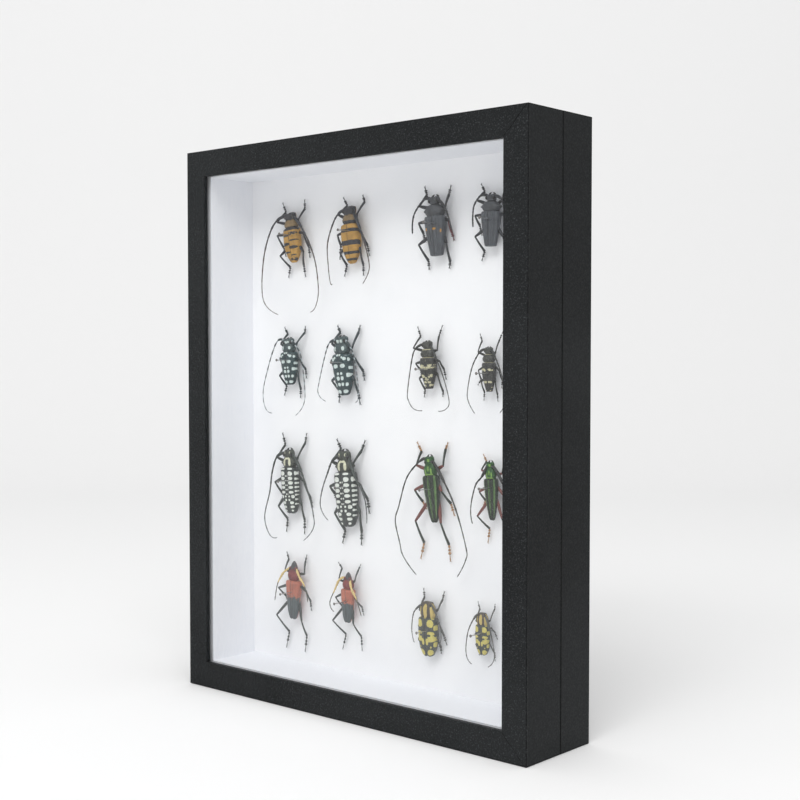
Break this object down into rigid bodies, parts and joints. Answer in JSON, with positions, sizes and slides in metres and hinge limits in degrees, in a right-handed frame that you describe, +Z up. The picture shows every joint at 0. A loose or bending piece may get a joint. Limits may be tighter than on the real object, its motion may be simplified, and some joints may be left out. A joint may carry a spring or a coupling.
{
  "type": "insect specimen box",
  "caption": "Glazed display box for pinned insects: a lift-off glass lid over a foam-lined base, with long-horned beetles set on steel pins in rows.",
  "frame": {"origin": "middle of the bottom face of the closed box, with the box standing upright", "axes": "+Z up along the box's height, +X to the viewer's right, and the glass faces -Y"},
  "size_m": [0.236, 0.051, 0.3],
  "materials": {
    "frame_wood": "bare pine under the covering",
    "papered_board": "thin board covered in smooth white paper",
    "covering": "black fine-grained leatherette",
    "glass": "clear 2 mm float glass",
    "foam": null,
    "fibreboard": "plain hardboard",
    "pin_steel": "bright stainless wire",
    "beetle_banded": "satin shell, orange with dark bands",
    "beetle_grey": "satin ridged dark grey shell",
    "beetle_spotted": "satin slate shell with pale aqua spots",
    "beetle_yellow_barred": "satin brown-black shell with yellow bars",
    "beetle_white_marked": "satin black shell with rows of cream marks",
    "beetle_green_striped": "metallic dark green shell with lighter stripes",
    "beetle_red_shouldered": "satin dark red shell turning slate at the rear",
    "beetle_marbled": "satin yellow shell marbled with dark grey"
  },
  "bodies": {
    "base": {"base_rail_top": "frame_wood", "base_rail_bottom": "frame_wood", "base_stile_left": "frame_wood", "base_stile_right": "frame_wood", "base_covering": "covering", "neck_top": "papered_board", "neck_bottom": "papered_board", "neck_left": "papered_board", "neck_right": "papered_board", "foam_sheet": "foam", "back_panel": "fibreboard", "back_sheet": "covering"},
    "lid": {"lid_rail_top": "frame_wood", "lid_rail_bottom": "frame_wood", "lid_stile_left": "frame_wood", "lid_stile_right": "frame_wood", "lid_covering": "covering", "lid_glass": "glass"},
    "specimen_01": {"beetle_01_banded": "beetle_banded", "pin_01": "pin_steel"},
    "specimen_02": {"beetle_02_banded": "beetle_banded", "pin_02": "pin_steel"},
    "specimen_03": {"beetle_03_grey": "beetle_grey", "pin_03": "pin_steel"},
    "specimen_04": {"beetle_04_grey": "beetle_grey", "pin_04": "pin_steel"},
    "specimen_05": {"beetle_05_spotted": "beetle_spotted", "pin_05": "pin_steel"},
    "specimen_06": {"beetle_06_spotted": "beetle_spotted", "pin_06": "pin_steel"},
    "specimen_07": {"beetle_07_yellow_barred": "beetle_yellow_barred", "pin_07": "pin_steel"},
    "specimen_08": {"beetle_08_yellow_barred": "beetle_yellow_barred", "pin_08": "pin_steel"},
    "specimen_09": {"beetle_09_white_marked": "beetle_white_marked", "pin_09": "pin_steel"},
    "specimen_10": {"beetle_10_white_marked": "beetle_white_marked", "pin_10": "pin_steel"},
    "specimen_11": {"beetle_11_green_striped": "beetle_green_striped", "pin_11": "pin_steel"},
    "specimen_12": {"beetle_12_green_striped": "beetle_green_striped", "pin_12": "pin_steel"},
    "specimen_13": {"beetle_13_red_shouldered": "beetle_red_shouldered", "pin_13": "pin_steel"},
    "specimen_14": {"beetle_14_red_shouldered": "beetle_red_shouldered", "pin_14": "pin_steel"},
    "specimen_15": {"beetle_15_marbled": "beetle_marbled", "pin_15": "pin_steel"},
    "specimen_16": {"beetle_16_marbled": "beetle_marbled", "pin_16": "pin_steel"}
  },
  "joints": [
    {"name": "lid_lift_off", "type": "slide", "parent": "base", "child": "lid", "axis": [0, -1, 0], "range_m": [0, 0.08]},
    {"name": "specimen_01_pull", "type": "slide", "parent": "base", "child": "specimen_01", "axis": [0, -1, 0], "range_m": [0, 0.012]},
    {"name": "specimen_02_pull", "type": "slide", "parent": "base", "child": "specimen_02", "axis": [0, -1, 0], "range_m": [0, 0.012]},
    {"name": "specimen_03_pull", "type": "slide", "parent": "base", "child": "specimen_03", "axis": [0, -1, 0], "range_m": [0, 0.012]},
    {"name": "specimen_04_pull", "type": "slide", "parent": "base", "child": "specimen_04", "axis": [0, -1, 0], "range_m": [0, 0.012]},
    {"name": "specimen_05_pull", "type": "slide", "parent": "base", "child": "specimen_05", "axis": [0, -1, 0], "range_m": [0, 0.012]},
    {"name": "specimen_06_pull", "type": "slide", "parent": "base", "child": "specimen_06", "axis": [0, -1, 0], "range_m": [0, 0.012]},
    {"name": "specimen_07_pull", "type": "slide", "parent": "base", "child": "specimen_07", "axis": [0, -1, 0], "range_m": [0, 0.012]},
    {"name": "specimen_08_pull", "type": "slide", "parent": "base", "child": "specimen_08", "axis": [0, -1, 0], "range_m": [0, 0.012]},
    {"name": "specimen_09_pull", "type": "slide", "parent": "base", "child": "specimen_09", "axis": [0, -1, 0], "range_m": [0, 0.012]},
    {"name": "specimen_10_pull", "type": "slide", "parent": "base", "child": "specimen_10", "axis": [0, -1, 0], "range_m": [0, 0.012]},
    {"name": "specimen_11_pull", "type": "slide", "parent": "base", "child": "specimen_11", "axis": [0, -1, 0], "range_m": [0, 0.012]},
    {"name": "specimen_12_pull", "type": "slide", "parent": "base", "child": "specimen_12", "axis": [0, -1, 0], "range_m": [0, 0.012]},
    {"name": "specimen_13_pull", "type": "slide", "parent": "base", "child": "specimen_13", "axis": [0, -1, 0], "range_m": [0, 0.012]},
    {"name": "specimen_14_pull", "type": "slide", "parent": "base", "child": "specimen_14", "axis": [0, -1, 0], "range_m": [0, 0.012]},
    {"name": "specimen_15_pull", "type": "slide", "parent": "base", "child": "specimen_15", "axis": [0, -1, 0], "range_m": [0, 0.012]},
    {"name": "specimen_16_pull", "type": "slide", "parent": "base", "child": "specimen_16", "axis": [0, -1, 0], "range_m": [0, 0.012]}
  ]
}
